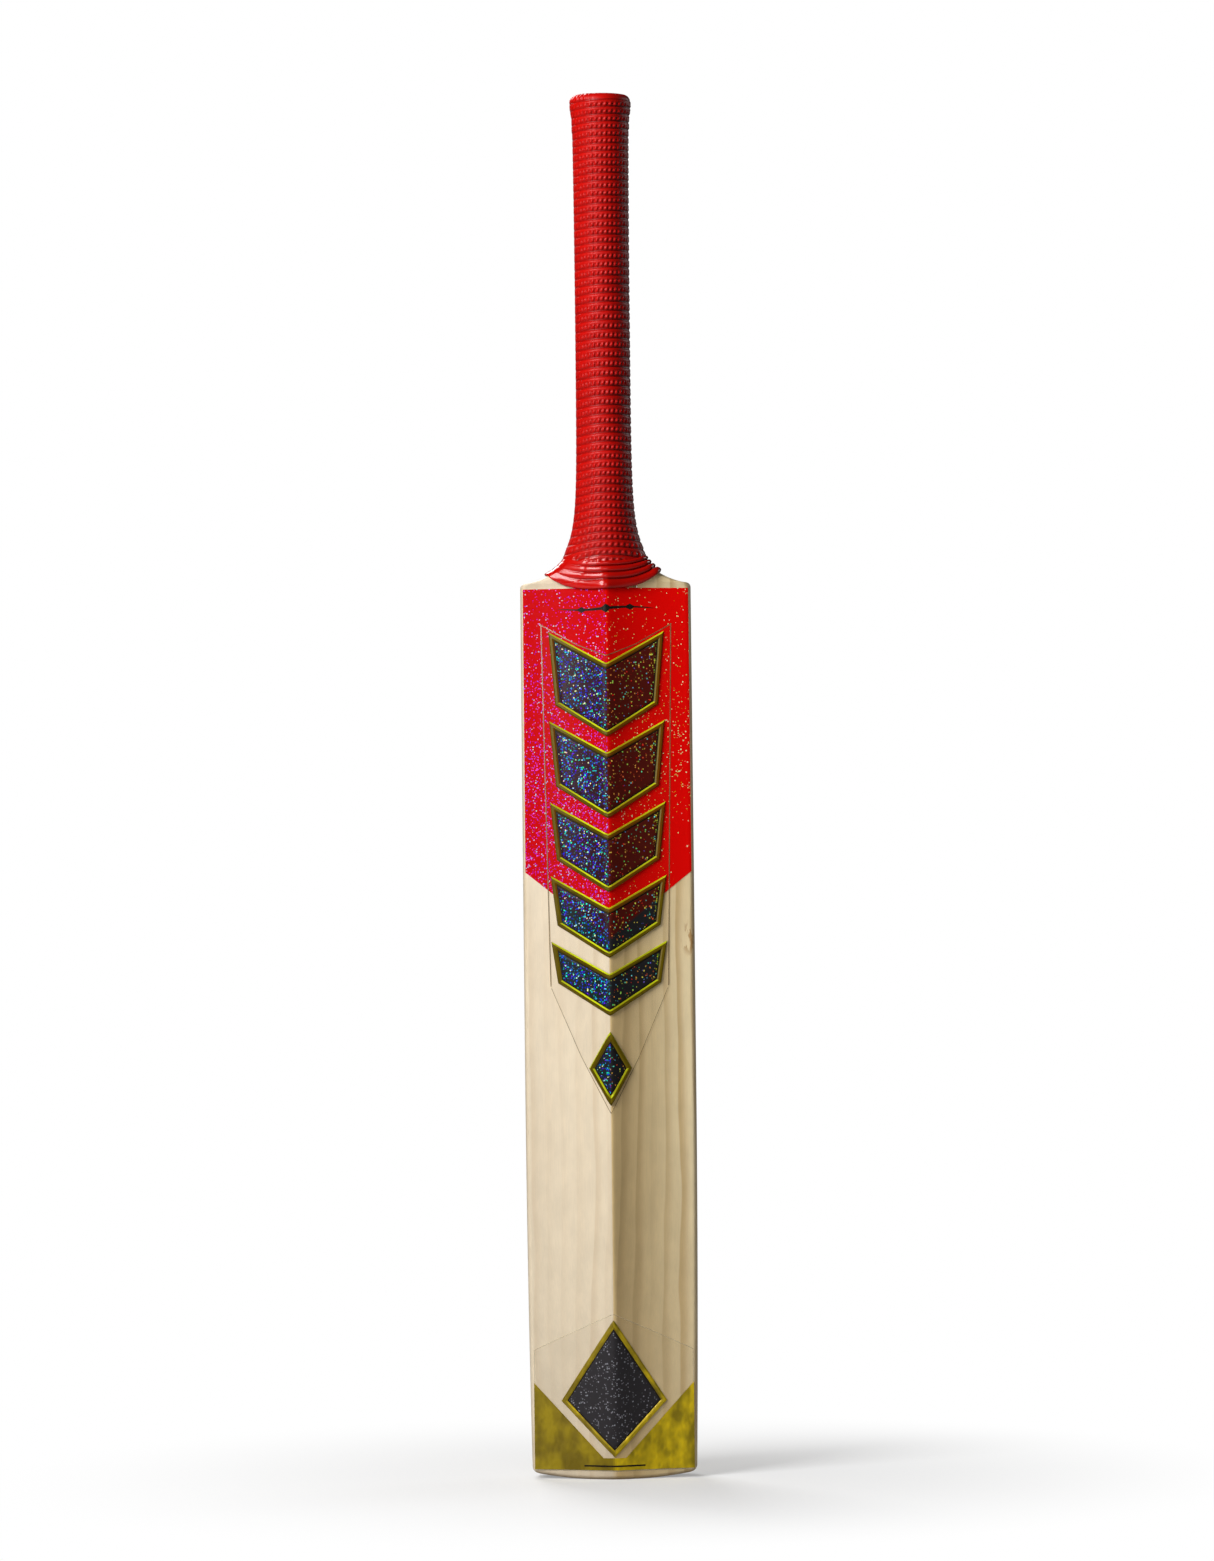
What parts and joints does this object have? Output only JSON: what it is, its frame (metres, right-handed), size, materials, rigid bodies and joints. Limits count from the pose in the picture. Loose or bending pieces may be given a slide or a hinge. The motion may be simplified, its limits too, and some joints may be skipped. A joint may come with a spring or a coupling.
{
  "type": "cricket bat",
  "caption": "Full-size cricket bat: a willow blade with a ridged back, a spliced cane handle, a ribbed rubber grip and raised foil decals.",
  "frame": {"origin": "on the flat middle of the toe's end face, under the axis of the handle", "axes": "+Z from the toe up to the handle, +Y out of the hitting face, -Y out of the ridged back"},
  "size_m": [0.1076, 0.0728, 0.87],
  "materials": {
    "willow": "pressed, sanded and lightly oiled willow",
    "cane": "planed cane",
    "spring_rubber": "matte black sheet rubber",
    "twine": "waxed twine, close wound",
    "grip_rubber": "moulded red rubber, satin",
    "red_foil": "red glitter foil under a gloss coat",
    "clear_film": "clear gloss film",
    "glitter": "dark holographic glitter under a gloss coat",
    "gold_foil": "embossed gold foil, mirror bright"
  },
  "bodies": {
    "root": {"blade": "willow", "cane_back_left": "cane", "cane_back_middle": "cane", "cane_back_right": "cane", "cane_mid_back_left": "cane", "cane_mid_back_middle": "cane", "cane_mid_back_right": "cane", "cane_mid_face_left": "cane", "cane_mid_face_middle": "cane", "cane_mid_face_right": "cane", "cane_face_left": "cane", "cane_face_middle": "cane", "cane_face_right": "cane", "spring_strip_back": "spring_rubber", "spring_strip_middle": "spring_rubber", "spring_strip_face": "spring_rubber", "twine_binding": "twine", "rubber_grip": "grip_rubber", "red_panel": "red_foil", "emblem_film": "clear_film", "emblem_1_frame": "gold_foil", "emblem_1_inlay": "glitter", "emblem_2_frame": "gold_foil", "emblem_2_inlay": "glitter", "emblem_3_frame": "gold_foil", "emblem_3_inlay": "glitter", "emblem_4_frame": "gold_foil", "emblem_4_inlay": "glitter", "emblem_5_frame": "gold_foil", "emblem_5_inlay": "glitter", "emblem_6_frame": "gold_foil", "emblem_6_inlay": "glitter", "toe_film": "clear_film", "toe_foil": "gold_foil", "toe_kite_frame": "gold_foil", "toe_kite_inlay": "glitter"}
  },
  "joints": []
}
